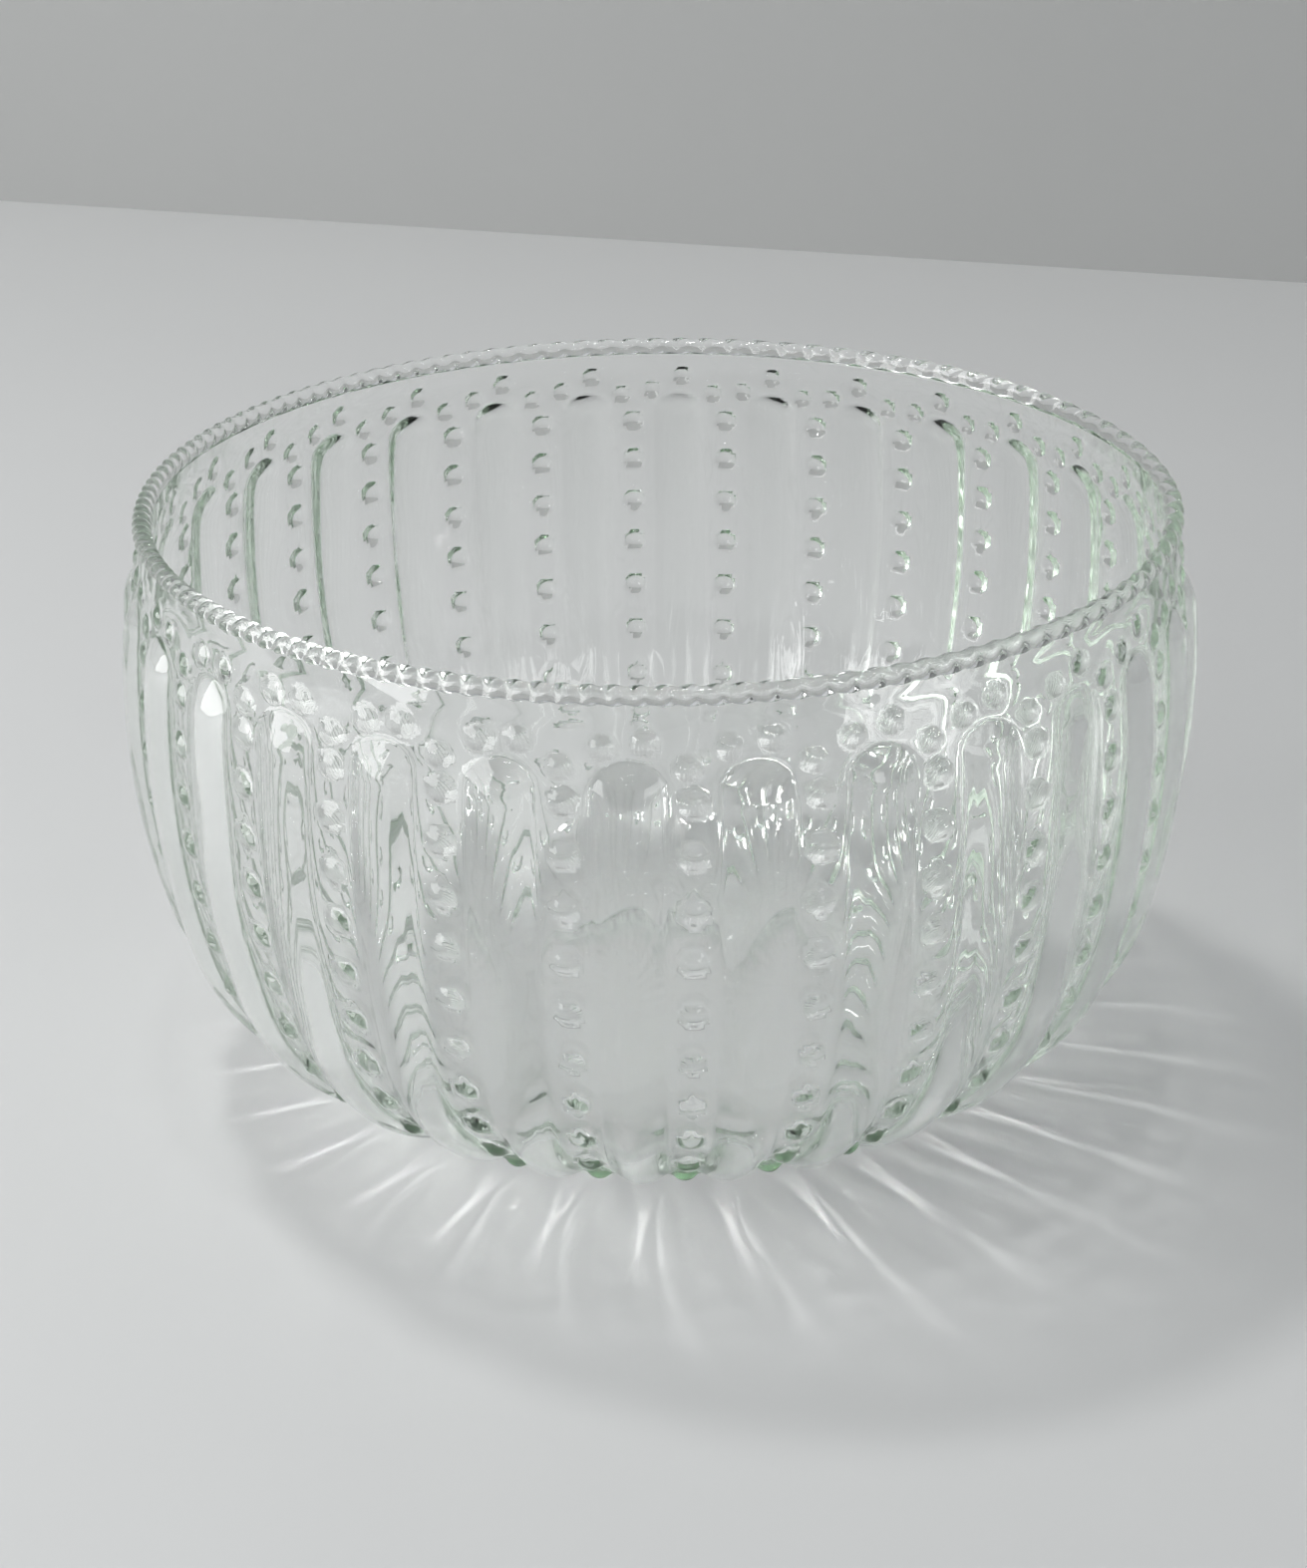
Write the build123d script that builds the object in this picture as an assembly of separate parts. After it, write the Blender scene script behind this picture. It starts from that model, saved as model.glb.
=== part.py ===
"""Mould-blown glass punch bowl with arched lobes, hobnail columns and a rope-twisted lip.

Millimetres, +Z up.  The origin is the centre of the resting face, so the bowl stands on z = 0.
The bowl is one piece of glass.  Its forms are kept as separate solids that seat face to face:
the plain wall, the raised arches, the hobnails of the columns and of the shoulder, and the rope.
"""
from build123d import *
from math import asin, cos, pi, radians, sin, sqrt
import os

# ---- driving dimensions -------------------------------------------------------------------
MOUTH_RADIUS = 150.0        # outside edge of the rope lip
HEIGHT = 175.0              # resting face to the top of the rope
BELLY_RADIUS = 153.4        # plain wall, outside, at its widest
BELLY_HEIGHT = 118.0        # height of the widest place
SHOULDER_ARC = 250.0        # outside radius of curvature from the belly up to the lip
BELLY_ARC = 236.0           # outside radius of curvature just below the belly
HEEL_ARC = 80.6             # outside radius of curvature down to the resting face
WALL = 3.2                  # glass thickness
BASE_WALL = 6.0             # glass thickness over the resting face
PUNT_RADIUS = 56.0          # hollow under the base
PUNT_RISE = 3.5

ARCHES = 30                 # raised arches around the bowl, with a hobnail column between each
ARCH_HALF_ANGLE = 3.4       # half the width of an arch, in degrees around the axis
ARCH_RELIEF = 3.6           # how far an arch stands proud of the plain wall
ARCH_TOP_Z = 156.0
ARCH_FOOT_ANGLE = 78.0      # place on the heel arc where an arch dies out, from the horizontal
ARCH_FADE_ANGLE = 56.0      # place on the heel arc where it starts to die out
ARCH_ROUND_PLACES = (0.04, 0.2, 0.5, 1.0)   # sections over the round top, as parts of its length
ARCH_BODY_STEPS = 4
ARCH_FADE_PLACES = (0.45, 0.95)

HOBNAIL_RADIUS = 3.7        # at the wall
HOBNAIL_RELIEF = 1.7
COLUMN_ROWS = 10
COLUMN_TOP_Z = 145.5        # centre of the top hobnail of a column
COLUMN_STEP = 14.4          # distance to the next hobnail, along the wall
COLUMN_STEP_GROWTH = 0.4    # by which each step down is longer than the last
SHOULDER_HOBNAILS = 91      # one more than three to an arch, so the ring drifts against them
SHOULDER_Z = 158.0          # mean height of the ring
SHOULDER_WAVE = 4.0         # it rises over each arch and dips between two
SHOULDER_START = 48.0       # where a hobnail of the ring stands right over an arch, in degrees

ROPE_RADIUS = 2.8           # section of the lip
ROPE_SEAT = 1.5             # depth of the rope's centre line above the end of the wall

PITCH = 360.0 / ARCHES
ROPE_CENTRE_R = MOUTH_RADIUS - ROPE_RADIUS
ROPE_CENTRE_Z = HEIGHT - ROPE_RADIUS
WALL_TOP_Z = ROPE_CENTRE_Z - ROPE_SEAT

# ---- outside profile: shoulder arc, belly arc and heel arc, tangent to one another ----------
SHOULDER_CENTRE = (BELLY_RADIUS - SHOULDER_ARC, BELLY_HEIGHT)
BELLY_CENTRE = (BELLY_RADIUS - BELLY_ARC, BELLY_HEIGHT)
JOIN_ANGLE = asin((BELLY_HEIGHT - HEEL_ARC) / (BELLY_ARC - HEEL_ARC))
HEEL_CENTRE = (BELLY_CENTRE[0] + (BELLY_ARC - HEEL_ARC) * cos(JOIN_ANGLE), HEEL_ARC)
BELLY_LENGTH = BELLY_ARC * JOIN_ANGLE


def wall_point(distance):
    """Radius, height and downward tilt of the outside wall, at a distance below the belly."""
    if distance < 0:
        angle = distance / SHOULDER_ARC
        centre, arc = SHOULDER_CENTRE, SHOULDER_ARC
    elif distance < BELLY_LENGTH:
        angle = distance / BELLY_ARC
        centre, arc = BELLY_CENTRE, BELLY_ARC
    else:
        angle = JOIN_ANGLE + (distance - BELLY_LENGTH) / HEEL_ARC
        centre, arc = HEEL_CENTRE, HEEL_ARC
    return centre[0] + arc * cos(angle), centre[1] - arc * sin(angle), angle


def distance_at_height(z):
    """Distance below the belly of a place on the shoulder, which is above it and so negative."""
    return -SHOULDER_ARC * asin((z - BELLY_HEIGHT) / SHOULDER_ARC)


def distance_at_tilt(angle):
    """Distance below the belly of the place on the heel arc with this tilt, in degrees."""
    return BELLY_LENGTH + (radians(angle) - JOIN_ANGLE) * HEEL_ARC


def profile_plane(distance):
    """Plane lying across the wall: X around the bowl, Y out along the wall's normal."""
    r, z, tilt = wall_point(distance)
    outward = Vector(cos(tilt), 0, -sin(tilt))
    return Plane(origin=(r, 0, z), x_dir=(0, 1, 0), z_dir=Vector(0, 1, 0).cross(outward))


def profile_line(inset, top_z):
    """Arcs of the wall's outside, moved inwards by inset, from top_z down to the base."""
    shoulder = SHOULDER_ARC - inset
    belly = BELLY_ARC - inset
    heel = HEEL_ARC - inset
    top_angle = asin((top_z - BELLY_HEIGHT) / shoulder)

    def at(centre, arc, angle):
        return (centre[0] + arc * cos(angle), centre[1] - arc * sin(angle))

    heel_end = pi / 2
    heel_mid = (JOIN_ANGLE + heel_end) / 2
    return [
        ThreePointArc(at(SHOULDER_CENTRE, shoulder, -top_angle),
                      at(SHOULDER_CENTRE, shoulder, -top_angle / 2),
                      at(SHOULDER_CENTRE, shoulder, 0)),
        ThreePointArc(at(BELLY_CENTRE, belly, 0),
                      at(BELLY_CENTRE, belly, JOIN_ANGLE / 2),
                      at(BELLY_CENTRE, belly, JOIN_ANGLE)),
        ThreePointArc(at(HEEL_CENTRE, heel, JOIN_ANGLE),
                      at(HEEL_CENTRE, heel, heel_mid),
                      at(HEEL_CENTRE, heel, heel_end)),
    ]


def revolved(lines):
    """Solid of revolution about Z of a closed outline in the XZ plane, given as (radius, z)."""
    outline = Plane.XZ * make_face(Wire(lines))
    return revolve(outline, Axis.Z)


def bowl_wall():
    """The plain blown shell, with a shallow hollow under its base."""
    outside = profile_line(0, WALL_TOP_Z)
    inside = profile_line(WALL, WALL_TOP_Z)
    outer_top = outside[0] @ 0
    inner_top = inside[0] @ 0
    foot = outside[-1] @ 1
    floor_edge = inside[-1] @ 1
    floor_z = BASE_WALL
    lines = outside + inside + [
        Line(inner_top, outer_top),
        Line(foot, (PUNT_RADIUS, 0)),
        TangentArc((0, PUNT_RISE), (PUNT_RADIUS, 0), tangent=(1, 0)),
        Line((0, PUNT_RISE), (0, floor_z + PUNT_RISE / 2)),
        Spline((0, floor_z + PUNT_RISE / 2), floor_edge, tangents=[(1, 0), (1, 0)]),
    ]
    return revolved(lines)


def arch_section(distance, half_width, relief):
    """Bump across an arch: a low round back, seated on the wall."""
    girth = wall_point(distance)[0]
    bulge = half_width ** 2 / (2 * girth)
    with BuildSketch(profile_plane(distance)) as section:
        with BuildLine():
            ThreePointArc((-half_width, -bulge), (0, relief), (half_width, -bulge))
            ThreePointArc((half_width, -bulge), (0, 0), (-half_width, -bulge))
        make_face()
    return section.sketch


def arched_lobes():
    """Thirty raised arches, round at the top and dying out on the heel."""
    top = distance_at_height(ARCH_TOP_Z)
    foot = distance_at_tilt(ARCH_FOOT_ANGLE)
    fade = distance_at_tilt(ARCH_FADE_ANGLE)
    round_length = wall_point(top)[0] * radians(ARCH_HALF_ANGLE)
    stations = [top + round_length * place for place in ARCH_ROUND_PLACES]
    body_length = fade - stations[-1]
    stations += [stations[-1] + body_length * k / ARCH_BODY_STEPS
                 for k in range(1, ARCH_BODY_STEPS + 1)]
    stations += [fade + (foot - fade) * place for place in ARCH_FADE_PLACES]
    sections = []
    for distance in stations:
        into_top = min((distance - top) / round_length, 1.0)
        round_off = sqrt(1 - (1 - into_top) ** 2)
        into_foot = max((distance - fade) / (foot - fade), 0.0)
        relief = ARCH_RELIEF * round_off * (1 - into_foot ** 1.5 * 0.97)
        half_width = wall_point(distance)[0] * radians(ARCH_HALF_ANGLE) * round_off
        half_width *= 1 - 0.35 * into_foot ** 2
        sections.append(arch_section(distance, half_width, relief))
    arch = loft(sections)
    return [Rot(0, 0, PITCH * k) * arch for k in range(ARCHES)]


def hobnail(distance):
    """Round button seated on the wall in the XZ plane, its axis along the wall's normal."""
    dome = Plane.XZ * make_face(Wire([
        TangentArc((0, HOBNAIL_RELIEF), (HOBNAIL_RADIUS, 0), tangent=(1, 0)),
        Line((0, HOBNAIL_RELIEF), (0, 0)),
        Line((0, 0), (HOBNAIL_RADIUS, 0)),
    ]))
    r, z, tilt = wall_point(distance)
    seat = Plane(origin=(r, 0, z), x_dir=(0, 1, 0), z_dir=(cos(tilt), 0, -sin(tilt)))
    return seat * revolve(dome, Axis.Z)


def column_hobnails():
    """A column of hobnails between every two arches."""
    distance = distance_at_height(COLUMN_TOP_Z)
    buttons = []
    for row in range(COLUMN_ROWS):
        button = hobnail(distance)
        buttons += [Rot(0, 0, PITCH * (k + 0.5)) * button for k in range(ARCHES)]
        distance += COLUMN_STEP + COLUMN_STEP_GROWTH * row
    return buttons


def shoulder_hobnails():
    """A wavy ring of hobnails above the arches."""
    buttons = []
    for k in range(SHOULDER_HOBNAILS):
        turn = SHOULDER_START + 360.0 * k / SHOULDER_HOBNAILS
        z = SHOULDER_Z + SHOULDER_WAVE * cos(radians(ARCHES * turn))
        buttons.append(Rot(0, 0, turn) * hobnail(distance_at_height(z)))
    return buttons


def rope_lip():
    """Round lip that sits on the end of the wall and overhangs it on both sides."""
    half_seat = sqrt(ROPE_RADIUS ** 2 - ROPE_SEAT ** 2)
    inner_edge = (ROPE_CENTRE_R - half_seat, WALL_TOP_Z)
    outer_edge = (ROPE_CENTRE_R + half_seat, WALL_TOP_Z)
    return revolved([
        ThreePointArc(inner_edge, (ROPE_CENTRE_R, HEIGHT), outer_edge),
        Line(outer_edge, inner_edge),
    ])


os.makedirs("parts", exist_ok=True)
export_step(bowl_wall(), "parts/bowl_wall.step")
export_step(Compound(arched_lobes()), "parts/arched_lobes.step")
export_step(Compound(column_hobnails()), "parts/column_hobnails.step")
export_step(Compound(shoulder_hobnails()), "parts/shoulder_hobnails.step")
export_step(rope_lip(), "parts/rope_lip.step")
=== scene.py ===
from math import radians

import bpy
import numpy as np
from bpy.props import FloatProperty, FloatVectorProperty, IntProperty, PointerProperty
from mathutils import Matrix, Vector


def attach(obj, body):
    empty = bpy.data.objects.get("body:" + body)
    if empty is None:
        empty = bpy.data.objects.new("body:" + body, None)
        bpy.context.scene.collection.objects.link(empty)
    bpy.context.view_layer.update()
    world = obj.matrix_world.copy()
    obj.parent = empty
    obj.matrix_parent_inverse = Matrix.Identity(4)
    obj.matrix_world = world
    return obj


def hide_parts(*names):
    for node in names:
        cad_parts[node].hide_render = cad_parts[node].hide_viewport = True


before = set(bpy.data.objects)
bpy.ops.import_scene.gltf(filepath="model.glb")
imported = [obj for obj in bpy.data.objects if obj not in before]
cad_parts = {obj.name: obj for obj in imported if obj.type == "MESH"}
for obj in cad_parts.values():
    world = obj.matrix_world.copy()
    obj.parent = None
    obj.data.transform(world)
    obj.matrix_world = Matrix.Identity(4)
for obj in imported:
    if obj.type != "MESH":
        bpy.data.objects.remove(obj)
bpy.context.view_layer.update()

bl_info = {
    "name": "Moulded Glass Punch Bowl",
    "version": (1, 0, 0),
    "blender": (4, 5, 0),
    "location": "View3D > Sidebar > Punch Bowl",
    "description": "Builds a mould-blown punch bowl with arched lobes, hobnails and a rope lip",
    "category": "Add Mesh",
}

MM = 0.001

# The blown wall, in millimetres, as the mould gives it.
BELLY_RADIUS = 153.4        # plain wall, outside, at its widest
BELLY_HEIGHT = 118.0
SHOULDER_ARC = 250.0        # radius of curvature from the belly up to the lip
BELLY_ARC = 236.0           # radius of curvature just below the belly
HEEL_ARC = 80.6             # radius of curvature down to the resting face
BASE_FLOOR = 6.0            # glass over the resting face
PUNT_RADIUS = 56.0
PUNT_RISE = 3.5
ARCHES = 30
PITCH = 2 * np.pi / ARCHES
ARCH_TOP_Z = 156.0
ARCH_FADE_ANGLE = radians(56.0)
ARCH_FOOT_ANGLE = radians(80.0)
COLUMN_ROWS = 10
COLUMN_TOP_Z = 145.5
COLUMN_STEP = 14.4
COLUMN_STEP_GROWTH = 0.4
SHOULDER_HOBNAILS = 91
SHOULDER_START = radians(48.0)
SHOULDER_Z = 158.0
SHOULDER_WAVE = 4.0
ROPE_CENTRE_R = 147.2
ROPE_CENTRE_Z = 172.2
ROPE_DRIFT = 40.0           # radians of phase by which the twist runs ahead and then behind
ROPE_DRIFT_START = radians(207.0)
WALL_TOP_Z = 169.9
LIP_THINNING = 0.9          # by which the wall is thinner at the lip
LIP_THINNING_LENGTH = 8.0
START_TURN = -np.pi / ARCHES        # angle at which every ring of the mesh starts
LOWEST_HOBNAIL = 1.75       # times as tall as the highest of its column
ARCH_TOP_SQUASH = 1.2       # times as blunt as a half circle
AIR_FILM = 0.0004           # metres of air left under the glass, so that light gets below it
LOBE_LEAD = 1.0             # by which the broad swelling starts above the arches
LOBE_FADE_IN = 13.0         # lengths over which it grows at its top and dies out at its foot
LOBE_FADE_OUT = 40.0
ARCH_FILLET = 0.30          # roundness of the foot of an arch and of a hobnail
HOBNAIL_FILLET = 0.18
ARCH_SINK_POWER = 1.8       # above 1, an arch keeps its height longer before it dies out
FARTHEST_GAP = 4.0          # squared gap, in radii, past which relief stays flat
OUTER_WAVE = 0.07           # depths of the slow unevenness outside and on the inside floor
FLOOR_WAVE = 0.05
INNER_FOLLOW = 0.6          # share of the broad swelling that the inner face follows
RELIEF_LIP_FADE = 6.0       # lengths over which relief grows from the lip and from the foot
RELIEF_FOOT_FADE = 8.0
INNER_LIP_FADE = 9.0
INNER_FOOT_FADE = 30.0
FLOOR_BLEND = 34.0          # length of the round corner between inner wall and floor
FLOOR_RISE = 0.5            # rise of the inside floor, as a share of the hollow's under it
LIP_ROUNDNESS = 0.5         # height of the wall's end over half its thickness
NORMAL_STEP = 0.05          # half the distance over which a normal is measured
RING_FOOT_Z = 151.4         # lowest mesh row of the shoulder ring and highest of the body
BODY_TOP_Z = 150.6
MESH_EDGE_ANGLE = radians(3.2)      # where the mesh's columns crowd at an arch's edge
MESH_ARCH_TOP_Z = 148.0             # height about which its rows crowd on the arch tops
RING_COLUMNS = 660          # mesh columns around: shoulder ring, underside, inside and lip
BASE_COLUMNS = 120
INNER_COLUMNS = 300
LIP_COLUMNS = 240
BODY_PITCH_COLUMNS = 20     # mesh columns of the body to one arch

# Grain of the glass: scale of the noise and its depth in metres.
BOWL_GRAIN = (55.0, 0.00004)
ROPE_GRAIN = (90.0, 0.00005)

# Matt paint of the table and the backdrop.
PAINT_ROUGHNESS = 0.75
PAINT_SHEEN = 0.2
PAINT_MOTTLE_SCALE = 6.0
PAINT_MOTTLE = 0.015        # share by which the paint is darker and lighter in places

# Stage, in metres and watts.  A softbox is its place, its aim, its two sides and its power.
SKY_COLOUR = (0.95, 0.975, 1.0, 1.0)
TABLE_HALF = 4
BACKDROP_LEFT = (-4.0, 2.36, 0)
BACKDROP_RIGHT = (4.0, -0.40, 0)
BACKDROP_HEIGHT = 0.6
KEY_LAMP = ((-0.75, 0.80, 2.70), (0, 0, 0.05), (0.28, 0.28), 17.0)
LEFT_LAMP = ((-1.36, -0.42, 0.52), (0, 0, 0.1), (1.4, 0.95), 23.0)
FRONT_LAMP = ((1.05, -1.95, 0.50), (0, 0, 0.1), (0.65, 0.5), 3.5)
MOUTH_LAMP = ((0.0, 0.0, 1.7), 9.0, 0.12, 45.0)     # place, cone in degrees, radius, power
CAMERA_AZIMUTH = radians(-3.05)
CAMERA_YAW = radians(0.15)
CAMERA_TILT = radians(90 - 25.50)
CAMERA_ROLL = radians(-0.55)

JOIN_ANGLE = np.arcsin((BELLY_HEIGHT - HEEL_ARC) / (BELLY_ARC - HEEL_ARC))
BELLY_LENGTH = BELLY_ARC * JOIN_ANGLE
HEEL_LENGTH = HEEL_ARC * (np.pi / 2 - JOIN_ANGLE)
FOOT_DISTANCE = BELLY_LENGTH + HEEL_LENGTH
SHOULDER_CENTRE_R = BELLY_RADIUS - SHOULDER_ARC
BELLY_CENTRE_R = BELLY_RADIUS - BELLY_ARC
HEEL_CENTRE_R = BELLY_CENTRE_R + (BELLY_ARC - HEEL_ARC) * np.cos(JOIN_ANGLE)


class PunchBowlShape(bpy.types.PropertyGroup):
    """Depths of the moulded relief and of the twist in the lip"""
    arch_relief: FloatProperty(
        name="Arch Relief", description="How far an arch stands proud of the wall around it",
        default=0.0017, min=0.0, max=0.006, subtype="DISTANCE", unit="LENGTH")
    lobe_relief: FloatProperty(
        name="Lobe Relief", description="Broad swelling of the wall under each arch",
        default=0.0019, min=0.0, max=0.004, subtype="DISTANCE", unit="LENGTH")
    arch_half_angle: FloatProperty(
        name="Arch Half Angle", description="Half the width of an arch, around the axis",
        default=radians(3.4), min=radians(2.0), max=radians(4.5), subtype="ANGLE", unit="ROTATION")
    hobnail_radius: FloatProperty(
        name="Hobnail Radius", description="Radius of a hobnail at the wall",
        default=0.0039, min=0.002, max=0.005, subtype="DISTANCE", unit="LENGTH")
    hobnail_relief: FloatProperty(
        name="Hobnail Relief", description="Height of the top hobnail of a column",
        default=0.0015, min=0.0, max=0.003, subtype="DISTANCE", unit="LENGTH")
    shoulder_radius: FloatProperty(
        name="Shoulder Hobnail Radius", description="Radius of a hobnail of the shoulder ring",
        default=0.0034, min=0.002, max=0.005, subtype="DISTANCE", unit="LENGTH")
    shoulder_relief: FloatProperty(
        name="Shoulder Hobnail Relief", description="Height of a hobnail of the shoulder ring",
        default=0.0012, min=0.0, max=0.003, subtype="DISTANCE", unit="LENGTH")
    wall: FloatProperty(
        name="Wall", description="Thickness of the plain glass wall",
        default=0.0032, min=0.002, max=0.005, subtype="DISTANCE", unit="LENGTH")
    waviness: FloatProperty(
        name="Waviness", description="Slow unevenness of the blown inner face",
        default=0.00020, min=0.0, max=0.001, subtype="DISTANCE", unit="LENGTH")
    rope_radius: FloatProperty(
        name="Rope Radius", description="Mean radius of the rope lip's section",
        default=0.0025, min=0.0015, max=0.003, subtype="DISTANCE", unit="LENGTH")
    rope_twist: FloatProperty(
        name="Rope Twist Depth", description="Depth of the twist in the rope lip",
        default=0.00026, min=0.0, max=0.0008, subtype="DISTANCE", unit="LENGTH")
    rope_turns: IntProperty(
        name="Rope Crests", description="Crests of the twist once around the lip",
        default=128, min=60, max=200)


class PunchBowlGlass(bpy.types.PropertyGroup):
    """Colour and finish of the glass"""
    tint: FloatVectorProperty(
        name="Tint", description="Colour that thick glass takes on",
        default=(0.26, 0.60, 0.26), size=3, min=0.0, max=1.0, subtype="COLOR")
    tint_density: FloatProperty(
        name="Tint Density", description="How fast the tint builds up, per metre of glass",
        default=4.5, min=0.0, max=200.0)
    refraction: FloatProperty(
        name="Refraction", description="Index of refraction of soda glass",
        default=1.5, min=1.3, max=1.8)
    roughness: FloatProperty(
        name="Roughness", description="Haze of the fire-polished surface",
        default=0.0, min=0.0, max=0.3, subtype="FACTOR")


class PunchBowlStage(bpy.types.PropertyGroup):
    """Lens, floor and lamps"""
    lens: FloatProperty(
        name="Lens", description="Focal length of the camera",
        default=62.7, min=20.0, max=200.0, unit="CAMERA")
    camera_distance: FloatProperty(
        name="Camera Distance", description="From the bowl's axis, along the floor",
        default=0.749, min=0.3, max=3.0, subtype="DISTANCE", unit="LENGTH")
    camera_height: FloatProperty(
        name="Camera Height", description="Of the lens over the floor",
        default=0.4358, min=0.1, max=2.0, subtype="DISTANCE", unit="LENGTH")
    floor_colour: FloatVectorProperty(
        name="Floor Colour", description="Pale table under the bowl",
        default=(0.61, 0.615, 0.61), size=3, min=0.0, max=1.0, subtype="COLOR")
    wall_colour: FloatVectorProperty(
        name="Backdrop Colour", description="Wall behind the table",
        default=(0.42, 0.425, 0.42), size=3, min=0.0, max=1.0, subtype="COLOR")
    zenith_light: FloatProperty(
        name="Zenith Light", description="Strength of the even light from straight above",
        default=0.64, min=0.0, max=3.0)
    horizon_light: FloatProperty(
        name="Horizon Light", description="Strength of the even light from the horizon",
        default=0.09, min=0.0, max=3.0)


def profile(distance, inset=0.0):
    """Radius, height and tilt of the wall at a distance below the belly, moved inwards by inset.

    Three tangent arcs.  On each, the tilt is the distance along the arc over its radius, and the
    point is the arc's centre plus (radius - inset) times (cos tilt, -sin tilt).
    """
    in_shoulder = distance < 0
    in_belly = (distance >= 0) & (distance < BELLY_LENGTH)
    arc = np.select([in_shoulder, in_belly], [SHOULDER_ARC, BELLY_ARC], HEEL_ARC)
    centre_r = np.select([in_shoulder, in_belly], [SHOULDER_CENTRE_R, BELLY_CENTRE_R],
                         HEEL_CENTRE_R)
    centre_z = np.select([in_shoulder, in_belly], [BELLY_HEIGHT, BELLY_HEIGHT], HEEL_ARC)
    tilt = np.select([in_shoulder, in_belly], [distance / SHOULDER_ARC, distance / BELLY_ARC],
                     JOIN_ANGLE + (distance - BELLY_LENGTH) / HEEL_ARC)
    r = centre_r + (arc - inset) * np.cos(tilt)
    z = centre_z - (arc - inset) * np.sin(tilt)
    return r, z, tilt


def distance_at_height(z):
    """Distance below the belly of a height on the shoulder: minus arc times asin(rise / arc)."""
    return -SHOULDER_ARC * np.arcsin((z - BELLY_HEIGHT) / SHOULDER_ARC)


def distance_at_tilt(tilt):
    """Distance below the belly of a tilt on the heel arc: arc times the angle past the join."""
    return BELLY_LENGTH + (tilt - JOIN_ANGLE) * HEEL_ARC


def wrapped(angle, period):
    """Angle from the nearest multiple of the period, between minus and plus half a period."""
    return (angle + period / 2) % period - period / 2


def smooth_step(value):
    """Value held between nought and one, then eased at both ends: value^2 * (3 - 2 * value)."""
    held = np.clip(value, 0.0, 1.0)
    return held ** 2 * (3 - 2 * held)


def smooth_positive(value, corner):
    """Value where it is positive and nought where it isn't, with a small round corner."""
    return 0.5 * (value + np.sqrt(value * value + corner * corner))


def lobe_height(turn, distance, shape):
    """Broad swelling of the wall under each arch: depth * (1 + cos(arches * angle)) / 2.

    It fades out over the shoulder and on the heel.
    """
    top = distance_at_height(ARCH_TOP_Z + LOBE_LEAD)
    fade_in = smooth_step((distance - top) / LOBE_FADE_IN)
    fade_out = smooth_step((distance_at_tilt(ARCH_FOOT_ANGLE) - distance) / LOBE_FADE_OUT)
    return shape.lobe_relief / MM * fade_in * fade_out * 0.5 * (1 + np.cos(ARCHES * turn))


def arch_height(turn, distance, shape):
    """Relief of the arches over the swelling wall, in millimetres.

    With t the distance from the arch's spine over its half width, measured round a slightly
    blunt half circle at the top, the relief is depth * (1 - t^2) with a small fillet at its
    foot, and the depth sinks to nought between the fade and the foot on the heel.
    """
    radius = profile(distance)[0]
    half_width = radius * shape.arch_half_angle
    across = wrapped(turn, PITCH) * radius
    top = distance_at_height(ARCH_TOP_Z)
    top_half = profile(np.array(top))[0] * shape.arch_half_angle
    above = np.maximum(top + top_half / ARCH_TOP_SQUASH - distance, 0.0) * ARCH_TOP_SQUASH
    t2 = (across ** 2 + above ** 2) / half_width ** 2
    fade = distance_at_tilt(ARCH_FADE_ANGLE)
    foot = distance_at_tilt(ARCH_FOOT_ANGLE)
    sink = np.clip((distance - fade) / (foot - fade), 0.0, 1.0)
    depth = shape.arch_relief / MM * (1 - sink ** ARCH_SINK_POWER)
    return smooth_positive(depth * (1 - np.minimum(t2, FARTHEST_GAP)), ARCH_FILLET)


def button(gap, radius, relief):
    """Hobnail over the wall for a gap from its centre: relief * (1 - (gap / radius)^2)."""
    g2 = np.minimum((gap / radius) ** 2, FARTHEST_GAP)
    return smooth_positive(relief * (1 - g2), HOBNAIL_FILLET)


def column_rows():
    """Distances below the belly of the hobnails of a column, each step longer than the last."""
    steps = COLUMN_STEP + COLUMN_STEP_GROWTH * np.arange(COLUMN_ROWS - 1)
    return distance_at_height(COLUMN_TOP_Z) + np.concatenate([[0.0], np.cumsum(steps)])


def column_hobnail_height(turn, distance, shape):
    """Relief of the hobnails that stand in columns between the arches, in millimetres.

    The nearest row is found from the rows' distances, then each button is round in the distance
    across and the distance along the wall.  The buttons stand taller row by row.
    """
    rows = column_rows()
    nearest = np.clip(np.searchsorted((rows[1:] + rows[:-1]) / 2, distance), 0, COLUMN_ROWS - 1)
    along = distance - rows[nearest]
    radius = profile(distance)[0]
    across = wrapped(turn - PITCH / 2, PITCH) * radius
    growth = nearest / (COLUMN_ROWS - 1)
    relief = shape.hobnail_relief / MM * (1 + (LOWEST_HOBNAIL - 1) * growth)
    return button(np.sqrt(across ** 2 + along ** 2), shape.hobnail_radius / MM, relief)


def shoulder_hobnail_height(turn, distance, shape):
    """Relief of the wavy ring of hobnails: height z = mean + wave * cos(arches * angle)."""
    spacing = 2 * np.pi / SHOULDER_HOBNAILS
    from_nearest = wrapped(turn - SHOULDER_START, spacing)
    centre_turn = turn - from_nearest
    centre_z = SHOULDER_Z + SHOULDER_WAVE * np.cos(ARCHES * centre_turn)
    along = distance - distance_at_height(centre_z)
    across = from_nearest * profile(distance)[0]
    return button(np.sqrt(across ** 2 + along ** 2), shape.shoulder_radius / MM,
                  shape.shoulder_relief / MM)


def waves(turn, distance, amplitude, seeds):
    """Slow unevenness: a sum of cosines, each with its own whole number of waves around."""
    total = 0.0
    for around, down, phase in seeds:
        total = total + np.cos(around * turn + distance / down + phase)
    return amplitude * total / np.sqrt(len(seeds))


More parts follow.
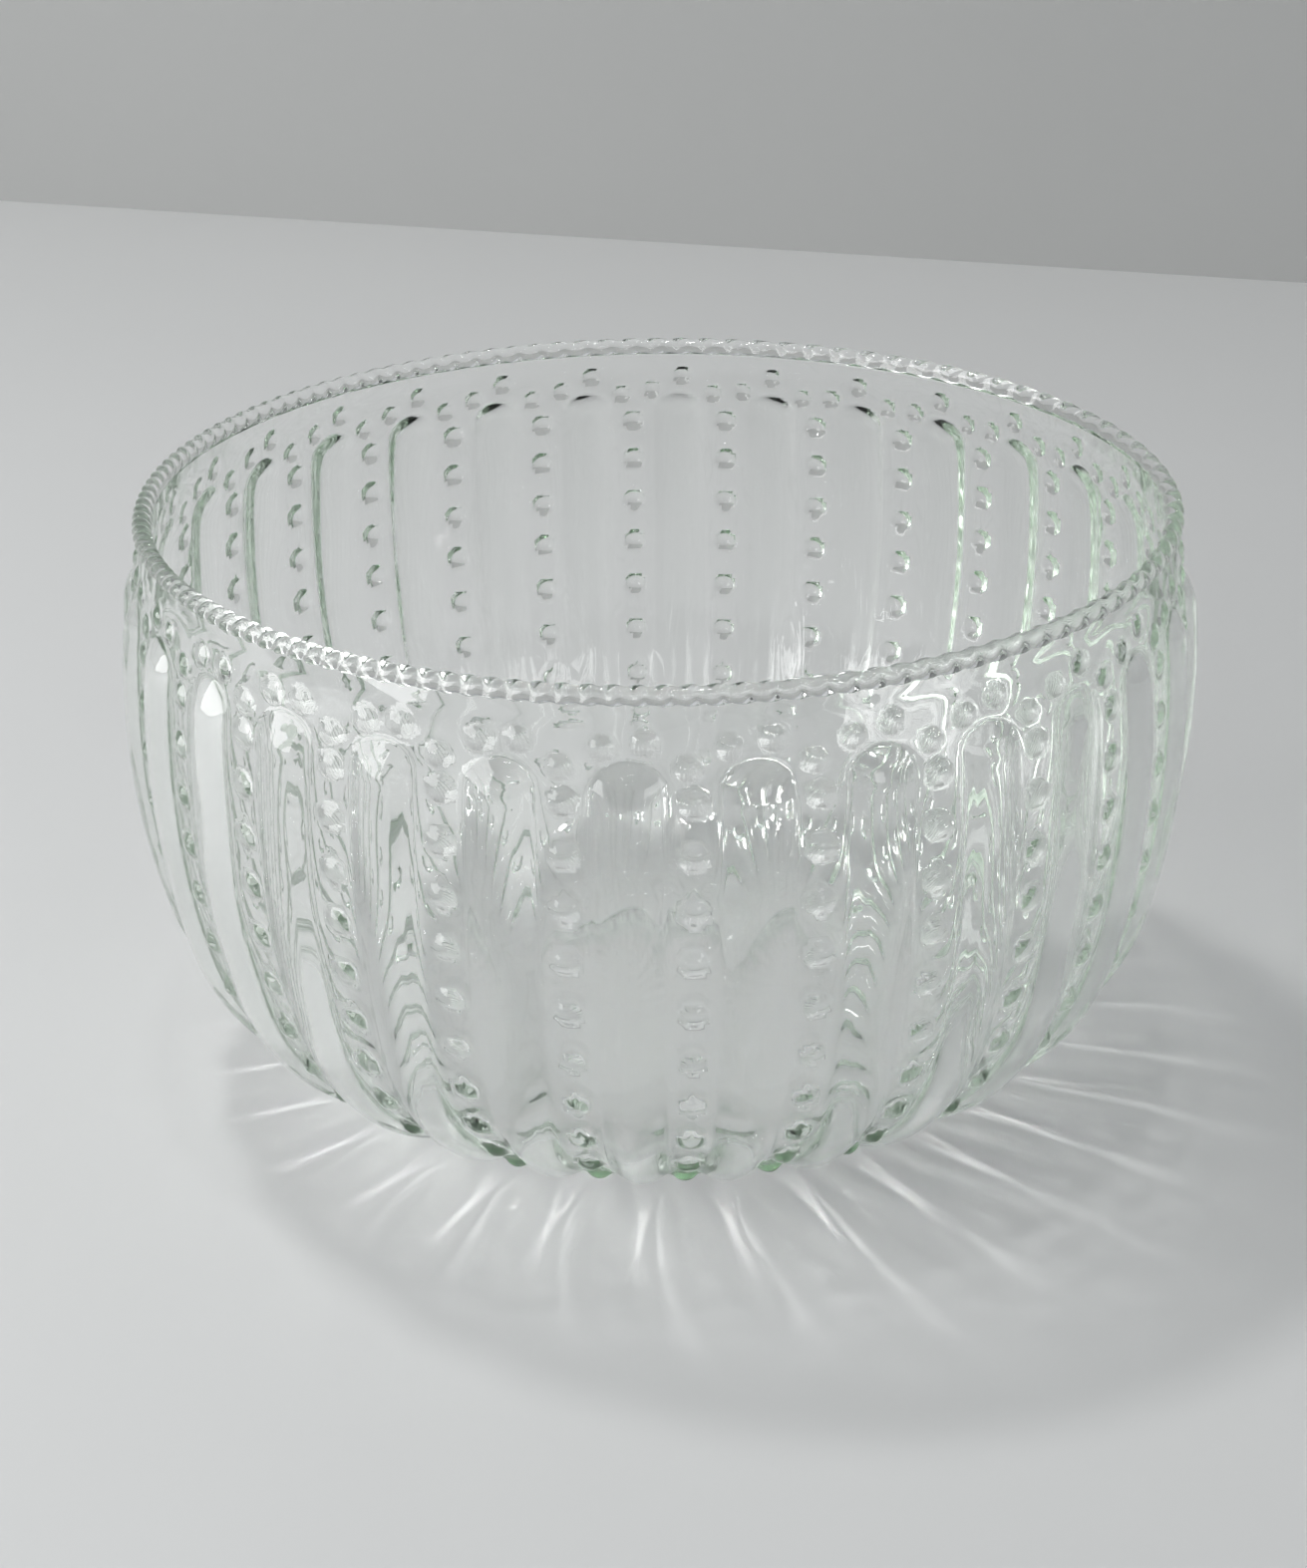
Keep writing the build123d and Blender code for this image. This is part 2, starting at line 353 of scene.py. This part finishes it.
OUTER_WAVES = ((7, 31.0, 0.3), (13, -23.0, 1.9), (19, 17.0, 4.1), (29, -41.0, 2.2))
INNER_WAVES = ((11, 26.0, 1.1), (17, -15.0, 0.4), (23, 12.0, 2.9), (31, -9.0, 5.1),
               (43, 8.0, 3.3), (30, 60.0, 0.0))


def outer_point(turn, distance, shape):
    """Outside of the glass: the plain wall plus its relief, along the wall's normal."""
    r, z, tilt = profile(distance)
    relief = (arch_height(turn, distance, shape)
              + lobe_height(turn, distance, shape)
              + column_hobnail_height(turn, distance, shape)
              + shoulder_hobnail_height(turn, distance, shape))
    lip = np.clip((distance - distance_at_height(WALL_TOP_Z)) / RELIEF_LIP_FADE, 0.0, 1.0)
    foot = np.clip((FOOT_DISTANCE - distance) / RELIEF_FOOT_FADE, 0.0, 1.0)
    relief = (relief + waves(turn, distance, OUTER_WAVE, OUTER_WAVES)) * lip * foot
    r = r + relief * np.cos(tilt)
    z = z - relief * np.sin(tilt)
    return np.stack([r * np.cos(turn), r * np.sin(turn), z + 0 * turn], axis=-1)


def inner_point(turn, distance, shape):
    """Inside of the glass: the wall moved in by its thickness, with slow blown waves.

    The face follows six tenths of the broad swelling under each arch.
    """
    past_lip = distance - distance_at_height(WALL_TOP_Z)
    thinning = LIP_THINNING * np.clip(1 - past_lip / LIP_THINNING_LENGTH, 0.0, 1.0) ** 2
    inset = shape.wall / MM - thinning
    above_foot = FOOT_DISTANCE - distance
    foot = np.clip(above_foot / INNER_FOOT_FADE, 0.0, 1.0) ** 2
    lip = np.clip(past_lip / INNER_LIP_FADE, 0.0, 1.0)
    wave = waves(turn, distance, shape.waviness / MM, INNER_WAVES)
    follow = INNER_FOLLOW * lobe_height(turn, distance, shape)
    floor = (BASE_FLOOR - inset) * (1 - np.clip(above_foot / FLOOR_BLEND, 0.0, 1.0)) ** 2
    r, z, tilt = profile(distance, inset)
    shift = (wave + follow) * foot * lip
    r = r + shift * np.cos(tilt)
    z = z - shift * np.sin(tilt) + floor
    return np.stack([r * np.cos(turn), r * np.sin(turn), z + 0 * turn], axis=-1)


def base_point(turn, distance, shape):
    """Underside: a flat ring from the foot inwards, then a shallow round hollow.

    The hollow's height is rise * (1 - (r / its radius)^2).  The distance runs on past the foot
    as the foot's radius minus the radius.
    """
    r = np.maximum(HEEL_CENTRE_R - (distance - FOOT_DISTANCE), 0.0)
    z = PUNT_RISE * (1 - np.minimum(r / PUNT_RADIUS, 1.0) ** 2)
    return np.stack([r * np.cos(turn), r * np.sin(turn), z + 0 * turn], axis=-1)


def floor_point(turn, distance, shape):
    """Inside floor of the bowl, from the heel to the axis: rise * (1 - (r / heel radius)^2)^2.

    The unevenness dies out over the last 30 mm to the axis.
    """
    r = np.maximum(HEEL_CENTRE_R - (distance - FOOT_DISTANCE), 0.0)
    rise = PUNT_RISE * FLOOR_RISE * (1 - (r / HEEL_CENTRE_R) ** 2) ** 2
    calm = np.minimum(r / 30, 1) ** 2
    z = BASE_FLOOR + rise + waves(turn, distance, FLOOR_WAVE, OUTER_WAVES) * calm
    return np.stack([r * np.cos(turn), r * np.sin(turn), z + 0 * turn], axis=-1)


def lip_point(turn, distance, shape):
    """Round end of the wall: half an ellipse from the inside edge over to the outside edge."""
    top = np.array(distance_at_height(WALL_TOP_Z))
    outer_r, outer_z = profile(top)[:2]
    inner_r, inner_z = profile(top, shape.wall / MM - LIP_THINNING)[:2]
    half = (outer_r - inner_r) / 2
    angle = np.pi - distance / half
    r = (outer_r + inner_r) / 2 + half * np.cos(angle)
    blend = (1 + np.cos(angle)) / 2
    z = inner_z + (outer_z - inner_z) * blend + LIP_ROUNDNESS * half * np.sin(angle)
    return np.stack([r * np.cos(turn), r * np.sin(turn), z + 0 * turn], axis=-1)


def surface_normals(point, turn, distance, shape, inward):
    """Unit normals from differences across 0.1 mm: down the wall crossed with around it."""
    radius = np.hypot(*point(turn, distance, shape)[..., :2].T).T
    lateral = NORMAL_STEP / np.maximum(radius, 1.0)
    below = point(turn, distance + NORMAL_STEP, shape)
    down = below - point(turn, distance - NORMAL_STEP, shape)
    around = point(turn + lateral, distance, shape) - point(turn - lateral, distance, shape)
    normal = np.cross(down, around)
    if inward:
        normal = -normal
    return normal / np.maximum(np.linalg.norm(normal, axis=-1, keepdims=True), 1e-12)


def spread(places, weights, count):
    """Cuts a range so that the density of cuts follows the weights: the inverse of their sum."""
    total = np.concatenate([[0.0], np.cumsum((weights[1:] + weights[:-1]) / 2 * np.diff(places))])
    return np.interp(np.linspace(0.0, total[-1], count), total, places)


def pitch_angles(per_pitch):
    """Angles of the body's mesh columns, closer together over hobnails and arch edges.

    The density is a base plus a bell over each arch edge and a flat-topped bell over a hobnail.
    """
    x = np.linspace(-PITCH / 2, PITCH / 2, 2001)
    from_edge = np.abs(np.abs(x) - MESH_EDGE_ANGLE) / radians(0.8)
    from_hobnail = np.abs(np.abs(x) - PITCH / 2) / radians(1.7)
    weights = 0.45 + 1.5 * np.exp(-from_edge ** 2) + 1.3 * np.exp(-from_hobnail ** 4)
    one = spread(x, weights, per_pitch + 1)[:-1]
    return (one[None, :] + PITCH * np.arange(ARCHES)[:, None]).ravel()


def body_distances(count):
    """Rows of the body's mesh from under the shoulder ring to the foot.

    They are closer together over the hobnails and over the round tops of the arches.
    """
    x = np.linspace(distance_at_height(BODY_TOP_Z), FOOT_DISTANCE, 8001)
    gap = np.abs(x[:, None] - column_rows()[None, :]).min(axis=1)
    on_hobnail = np.exp(-(gap / 4.4) ** 4)
    on_arch_top = np.exp(-((x - distance_at_height(MESH_ARCH_TOP_Z)) / 9.0) ** 4)
    weights = 0.40 + 0.9 * np.maximum(on_hobnail, on_arch_top)
    return spread(x, weights, count)


def ring_stack(point, turns, distances, shape, inward):
    """One belt of the surface: points and normals on a grid of distances by turns."""
    distance, turn = np.meshgrid(distances, turns, indexing="ij")
    return (point(turn, distance, shape),
            surface_normals(point, turn, distance, shape, inward), np.sort(turns))


def belt_faces(start, rows, columns):
    """Four-sided faces between the rows of a closed belt of rings."""
    k = np.arange(columns)
    upper = start + np.arange(rows - 1)[:, None] * columns
    a = upper + k
    b = upper + (k + 1) % columns
    return np.stack([a, a + columns, b + columns, b], axis=-1).reshape(-1, 4)


def zip_faces(first, first_turns, second, second_turns):
    """Triangles that join two rings of different counts, taking the next point by its angle."""
    n, m = len(first_turns), len(second_turns)
    turns = np.concatenate([np.append(first_turns[1:], first_turns[0] + 2 * np.pi),
                            np.append(second_turns[1:], second_turns[0] + 2 * np.pi)])
    owner = np.concatenate([np.zeros(n, int), np.ones(m, int)])
    order = np.argsort(turns, kind="stable")
    owner = owner[order]
    i = np.cumsum(owner == 0) - (owner == 0)
    j = np.cumsum(owner == 1) - (owner == 1)
    from_first = np.stack([first + i % n, second + j % m, first + (i + 1) % n], axis=-1)
    from_second = np.stack([first + i % n, second + j % m, second + (j + 1) % m], axis=-1)
    return np.where((owner == 0)[:, None], from_first, from_second)


def joined_mesh(name, belts):
    """Closed mesh of belts that follow one another around the wall's section.

    Each belt's last ring is zipped to the next belt's first, and the last belt's to the first's.
    A belt of one point is a pole, which a fan of triangles closes.
    """
    quads, triangles = [np.zeros((0, 4), int)], []
    counts = [grid.shape[0] * grid.shape[1] for grid, _, _ in belts]
    starts = np.concatenate([[0], np.cumsum(counts)])
    for index, (grid, _, turns) in enumerate(belts):
        rows, columns = grid.shape[:2]
        start = starts[index]
        if columns > 1:
            quads.append(belt_faces(start, rows, columns))
        last = start + (rows - 1) * columns
        after = (index + 1) % len(belts)
        after_turns = belts[after][2]
        if columns > 1 and len(after_turns) > 1:
            triangles.append(zip_faces(last, turns, starts[after], after_turns))
        elif columns > 1:
            k = np.arange(columns)
            triangles.append(np.stack([last + k, np.full(columns, starts[after]),
                                       last + (k + 1) % columns], axis=-1))
        elif len(after_turns) > 1:
            k = np.arange(len(after_turns))
            triangles.append(np.stack([np.full(len(k), last), starts[after] + k,
                                       starts[after] + (k + 1) % len(k)], axis=-1))
    points = np.concatenate([grid.reshape(-1, 3) for grid, _, _ in belts]) * MM
    normals = np.concatenate([normal.reshape(-1, 3) for _, normal, _ in belts])
    return filled_mesh(name, points, np.concatenate(quads), np.concatenate(triangles), normals)


def filled_mesh(name, points, quads, triangles, normals):
    """Mesh from whole arrays of points, faces and vertex normals."""
    mesh = bpy.data.meshes.new(name)
    loops = np.concatenate([quads.ravel(), triangles.ravel()]).astype(np.int32)
    sizes = np.concatenate([np.full(len(quads), 4), np.full(len(triangles), 3)])
    starts = np.concatenate([[0], np.cumsum(sizes)[:-1]]).astype(np.int32)
    mesh.vertices.add(len(points))
    mesh.vertices.foreach_set("co", points.astype(np.float32).ravel())
    mesh.loops.add(len(loops))
    mesh.loops.foreach_set("vertex_index", loops)
    mesh.polygons.add(len(sizes))
    mesh.polygons.foreach_set("loop_start", starts)
    mesh.update(calc_edges=True)
    mesh.validate()
    mesh.shade_smooth()
    mesh.normals_split_custom_set_from_vertices(normals.astype(np.float32))
    return mesh


def ring_turns(count):
    """Evenly spaced angles of a ring, from the place where every ring of the bowl starts."""
    return START_TURN + np.linspace(0, 2 * np.pi, count, endpoint=False)


def pole_belt(z, up):
    """One point on the axis that closes a disc of the surface."""
    return np.array([[[0.0, 0.0, z]]]), np.array([[[0.0, 0.0, up]]]), np.zeros(1)


def moulded_bowl_mesh(shape):
    """Glass bowl as one closed skin: outside, underside, floor, inside and round lip."""
    top = distance_at_height(WALL_TOP_Z)
    shoulder_rows = np.linspace(top, distance_at_height(RING_FOOT_Z), 18)
    foot_rows = FOOT_DISTANCE + np.array([1.0, 5.0, 10.0])
    hollow_rows = FOOT_DISTANCE + HEEL_CENTRE_R - np.array([55.0, 46.0, 34.0, 20.0, 8.0])
    floor_rows = FOOT_DISTANCE + HEEL_CENTRE_R - np.array([8.0, 20.0, 32.0, 43.0, 52.0, 60.0])
    inner_rows = np.linspace(FOOT_DISTANCE, top, 60)
    lip_rows = np.array([0.4, 1.0, 1.5, 2.1])
    belts = [
        ring_stack(outer_point, ring_turns(RING_COLUMNS), shoulder_rows, shape, False),
        ring_stack(outer_point, pitch_angles(BODY_PITCH_COLUMNS), body_distances(100), shape,
                   False),
        ring_stack(base_point, ring_turns(BASE_COLUMNS), foot_rows, shape, False),
        ring_stack(base_point, ring_turns(BASE_COLUMNS), hollow_rows, shape, False),
        pole_belt(PUNT_RISE, -1.0),
        pole_belt(BASE_FLOOR + PUNT_RISE * FLOOR_RISE, 1.0),
        ring_stack(floor_point, ring_turns(BASE_COLUMNS), floor_rows, shape, True),
        ring_stack(inner_point, ring_turns(INNER_COLUMNS), inner_rows, shape, True),
        ring_stack(lip_point, ring_turns(LIP_COLUMNS), lip_rows, shape, False),
    ]
    return joined_mesh("moulded_bowl", belts)


def rope_rim_mesh(shape):
    """Rope lip as one closed tube around the mouth.

    The section's radius is mean + depth * cos(2 * section angle - phase), where the phase grows
    by the number of crests once around and drifts with the hand that twisted it.
    """
    around, section = 1440, 22
    turn = np.linspace(0, 2 * np.pi, around, endpoint=False)[:, None]
    angle = np.linspace(0, 2 * np.pi, section, endpoint=False)[None, :]

    def rope(turn, angle):
        drift = ROPE_DRIFT * np.sin(turn - ROPE_DRIFT_START)
        phase = shape.rope_turns * turn + drift
        radius = shape.rope_radius / MM + shape.rope_twist / MM * np.cos(2 * angle - phase)
        r = ROPE_CENTRE_R + radius * np.cos(angle)
        z = ROPE_CENTRE_Z + radius * np.sin(angle)
        return np.stack([r * np.cos(turn), r * np.sin(turn), z], axis=-1)

    step = 1e-4
    across = rope(turn, angle + step) - rope(turn, angle - step)
    along = rope(turn + step / 60, angle) - rope(turn - step / 60, angle)
    normals = np.cross(along, across)
    normals /= np.linalg.norm(normals, axis=-1, keepdims=True)
    i = np.arange(around)[:, None]
    j = np.arange(section)[None, :]
    a = i * section + j
    b = ((i + 1) % around) * section + j
    c = ((i + 1) % around) * section + (j + 1) % section
    d = i * section + (j + 1) % section
    quads = np.stack([a, b, c, d], axis=-1).reshape(-1, 4)
    points = rope(turn, angle).reshape(-1, 3) * MM
    return filled_mesh("rope_rim", points, quads, np.zeros((0, 3), int), normals.reshape(-1, 3))


def glass_material(name, settings, grain_scale, grain_depth):
    """Clear soda glass with a faint tint in its depth and the soft grain that the mould leaves."""
    material = bpy.data.materials.new(name)
    material.use_nodes = True
    nodes, links = material.node_tree.nodes, material.node_tree.links
    nodes.clear()
    output = nodes.new("ShaderNodeOutputMaterial")
    shader = nodes.new("ShaderNodeBsdfPrincipled")
    shader.inputs["Base Color"].default_value = (1.0, 1.0, 1.0, 1.0)
    shader.inputs["Roughness"].default_value = settings.roughness
    shader.inputs["IOR"].default_value = settings.refraction
    shader.inputs["Transmission Weight"].default_value = 1.0
    absorb = nodes.new("ShaderNodeVolumeAbsorption")
    absorb.inputs["Color"].default_value = (*settings.tint, 1.0)
    absorb.inputs["Density"].default_value = settings.tint_density
    place = nodes.new("ShaderNodeTexCoord")
    grain = nodes.new("ShaderNodeTexNoise")
    grain.inputs["Scale"].default_value = grain_scale
    grain.inputs["Detail"].default_value = 2.0
    bump = nodes.new("ShaderNodeBump")
    bump.inputs["Strength"].default_value = 1.0
    bump.inputs["Distance"].default_value = grain_depth
    links.new(place.outputs["Object"], grain.inputs["Vector"])
    links.new(grain.outputs["Fac"], bump.inputs["Height"])
    links.new(bump.outputs["Normal"], shader.inputs["Normal"])
    links.new(shader.outputs["BSDF"], output.inputs["Surface"])
    links.new(absorb.outputs["Volume"], output.inputs["Volume"])
    return material


def plain_material(name, colour):
    """Matt paint with a faint mottle."""
    material = bpy.data.materials.new(name)
    material.use_nodes = True
    nodes, links = material.node_tree.nodes, material.node_tree.links
    shader = nodes["Principled BSDF"]
    shader.inputs["Roughness"].default_value = PAINT_ROUGHNESS
    shader.inputs["Specular IOR Level"].default_value = PAINT_SHEEN
    place = nodes.new("ShaderNodeTexCoord")
    mottle = nodes.new("ShaderNodeTexNoise")
    mottle.inputs["Scale"].default_value = PAINT_MOTTLE_SCALE
    ramp = nodes.new("ShaderNodeValToRGB")
    ramp.color_ramp.elements[0].color = (*[c * (1 - PAINT_MOTTLE) for c in colour], 1.0)
    ramp.color_ramp.elements[1].color = (*[c * (1 + PAINT_MOTTLE) for c in colour], 1.0)
    links.new(place.outputs["Object"], mottle.inputs["Vector"])
    links.new(mottle.outputs["Fac"], ramp.inputs["Fac"])
    links.new(ramp.outputs["Color"], shader.inputs["Base Color"])
    return material


def one_sided(material):
    """The same material seen from the front, and nothing at all seen from the back."""
    nodes, links = material.node_tree.nodes, material.node_tree.links
    geometry = nodes.new("ShaderNodeNewGeometry")
    clear = nodes.new("ShaderNodeBsdfTransparent")
    choice = nodes.new("ShaderNodeMixShader")
    links.new(geometry.outputs["Backfacing"], choice.inputs["Fac"])
    links.new(nodes["Principled BSDF"].outputs["BSDF"], choice.inputs[1])
    links.new(clear.outputs["BSDF"], choice.inputs[2])
    links.new(choice.outputs["Shader"], nodes["Material Output"].inputs["Surface"])
    return material


def add_object(name, mesh, material):
    """Object at the origin with one material, linked to the scene."""
    mesh.materials.append(material)
    obj = bpy.data.objects.new(name, mesh)
    bpy.context.scene.collection.objects.link(obj)
    return obj


def add_softbox(name, place, aim, size, power):
    """Rectangular lamp at a place, turned towards the point it lights."""
    lamp = bpy.data.lights.new(name, "AREA")
    lamp.shape = "RECTANGLE"
    lamp.size, lamp.size_y = size
    lamp.energy = power
    obj = bpy.data.objects.new(name, lamp)
    obj.location = place
    obj.rotation_euler = (Vector(aim) - Vector(place)).to_track_quat("-Z", "Y").to_euler()
    bpy.context.scene.collection.objects.link(obj)
    return obj


def add_spot(name, place, cone, radius, power):
    """Lamp that shines straight down in a narrow cone, in degrees, with a soft edge."""
    lamp = bpy.data.lights.new(name, "SPOT")
    lamp.spot_size = radians(cone)
    lamp.spot_blend = 1.0
    lamp.shadow_soft_size = radius
    lamp.energy = power
    obj = bpy.data.objects.new(name, lamp)
    obj.location = place
    bpy.context.scene.collection.objects.link(obj)
    return obj


def studio_world(settings):
    """Even studio light that grows from the horizon up to the zenith."""
    world = bpy.data.worlds.new("studio")
    world.use_nodes = True
    nodes, links = world.node_tree.nodes, world.node_tree.links
    sky = nodes["Background"]
    sky.inputs["Color"].default_value = SKY_COLOUR
    direction = nodes.new("ShaderNodeTexCoord")
    split = nodes.new("ShaderNodeSeparateXYZ")
    rise = nodes.new("ShaderNodeMapRange")
    rise.inputs["From Min"].default_value = 0.0
    rise.inputs["From Max"].default_value = 1.0
    rise.inputs["To Min"].default_value = settings.horizon_light
    rise.inputs["To Max"].default_value = settings.zenith_light
    links.new(direction.outputs["Generated"], split.inputs["Vector"])
    links.new(split.outputs["Z"], rise.inputs["Value"])
    links.new(rise.outputs["Result"], sky.inputs["Strength"])
    return world


class BOWL_OT_moulded_bowl(bpy.types.Operator):
    """Blow the bowl into its mould: wall, arches, hobnails and base in one skin of glass"""
    bl_idname = "punchbowl.moulded_bowl"
    bl_label = "Moulded Bowl"

    def execute(self, context):
        shape = context.scene.punch_bowl_shape
        material = glass_material("moulded_glass", context.scene.punch_bowl_glass, *BOWL_GRAIN)
        bowl = add_object("moulded_bowl", moulded_bowl_mesh(shape), material)
        bowl.cycles.is_caustics_caster = True
        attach(bowl, "root")
        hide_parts("bowl_wall", "arched_lobes", "column_hobnails", "shoulder_hobnails")
        return {"FINISHED"}


class BOWL_OT_rope_rim(bpy.types.Operator):
    """Lay the twisted rope of glass around the mouth"""
    bl_idname = "punchbowl.rope_rim"
    bl_label = "Rope Rim"

    def execute(self, context):
        shape = context.scene.punch_bowl_shape
        material = glass_material("rope_glass", context.scene.punch_bowl_glass, *ROPE_GRAIN)
        rope = add_object("rope_rim", rope_rim_mesh(shape), material)
        rope.cycles.is_caustics_caster = True
        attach(rope, "root")
        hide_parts("rope_lip")
        return {"FINISHED"}


class BOWL_OT_stage(bpy.types.Operator):
    """Set up the table, the backdrop, the lamps and the camera"""
    bl_idname = "punchbowl.stage"
    bl_label = "Stage"

    def execute(self, context):
        scene = context.scene
        settings = scene.punch_bowl_stage
        z = -AIR_FILM
        half = TABLE_HALF
        floor_mesh = bpy.data.meshes.new("table_top")
        floor_mesh.from_pydata([(-half, -half, z), (half, -half, z), (half, half, z),
                                (-half, half, z)], [], [(0, 1, 2, 3)])
        floor = add_object("table_top", floor_mesh,
                           plain_material("pale_table", settings.floor_colour))
        wall_mesh = bpy.data.meshes.new("backdrop")
        left, right = Vector(BACKDROP_LEFT), Vector(BACKDROP_RIGHT)
        up = Vector((0, 0, BACKDROP_HEIGHT))
        wall_mesh.from_pydata([left, right, right + up, left + up], [], [(0, 1, 2, 3)])
        backdrop = add_object("backdrop", wall_mesh,
                              one_sided(plain_material("grey_backdrop", settings.wall_colour)))

        key = add_softbox("key_softbox", *KEY_LAMP)
        add_softbox("left_softbox", *LEFT_LAMP)
        add_softbox("front_softbox", *FRONT_LAMP)
        add_spot("mouth_spot", *MOUTH_LAMP)
        key.data.cycles.is_caustics_light = True
        floor.cycles.is_caustics_receiver = True

        scene.world = studio_world(settings)
        scene.view_settings.view_transform = "Standard"
        scene.cycles.max_bounces = 40
        scene.cycles.glossy_bounces = 24
        scene.cycles.sample_clamp_indirect = 0.0
        scene.cycles.transmission_bounces = 40
        scene.cycles.blur_glossy = 0.0

        lens = bpy.data.cameras.new("camera")
        lens.lens = settings.lens
        lens.sensor_width = 36.0
        lens.clip_start = 0.01
        lens.clip_end = 50.0
        camera = bpy.data.objects.new("camera", lens)
        place = Vector((settings.camera_distance * np.sin(CAMERA_AZIMUTH),
                        -settings.camera_distance * np.cos(CAMERA_AZIMUTH),
                        settings.camera_height))
        turn = (Matrix.Rotation(CAMERA_AZIMUTH + CAMERA_YAW, 4, "Z")
                @ Matrix.Rotation(CAMERA_TILT, 4, "X")
                @ Matrix.Rotation(CAMERA_ROLL, 4, "Z"))
        camera.matrix_world = Matrix.Translation(place) @ turn
        scene.collection.objects.link(camera)
        scene.camera = camera
        return {"FINISHED"}


class BOWL_PT_panel(bpy.types.Panel):
    """Sizes, glass and stage of the punch bowl"""
    bl_idname = "BOWL_PT_panel"
    bl_label = "Punch Bowl"
    bl_space_type = "VIEW_3D"
    bl_region_type = "UI"
    bl_category = "Punch Bowl"

    def draw(self, context):
        layout = self.layout
        for group, properties in ((context.scene.punch_bowl_shape, PunchBowlShape),
                                  (context.scene.punch_bowl_glass, PunchBowlGlass),
                                  (context.scene.punch_bowl_stage, PunchBowlStage)):
            for name in properties.__annotations__:
                layout.prop(group, name)
        for operator in (BOWL_OT_moulded_bowl, BOWL_OT_rope_rim, BOWL_OT_stage):
            layout.operator(operator.bl_idname)


CLASSES = (PunchBowlShape, PunchBowlGlass, PunchBowlStage, BOWL_OT_moulded_bowl,
           BOWL_OT_rope_rim, BOWL_OT_stage, BOWL_PT_panel)


def register():
    for cls in CLASSES:
        bpy.utils.register_class(cls)
    bpy.types.Scene.punch_bowl_shape = PointerProperty(type=PunchBowlShape)
    bpy.types.Scene.punch_bowl_glass = PointerProperty(type=PunchBowlGlass)
    bpy.types.Scene.punch_bowl_stage = PointerProperty(type=PunchBowlStage)


def unregister():
    del bpy.types.Scene.punch_bowl_stage
    del bpy.types.Scene.punch_bowl_glass
    del bpy.types.Scene.punch_bowl_shape
    for cls in reversed(CLASSES):
        bpy.utils.unregister_class(cls)


def build_punch_bowl():
    register()
    bpy.ops.punchbowl.moulded_bowl()
    bpy.ops.punchbowl.rope_rim()
    bpy.ops.punchbowl.stage()


if __name__ == "__main__":
    build_punch_bowl()
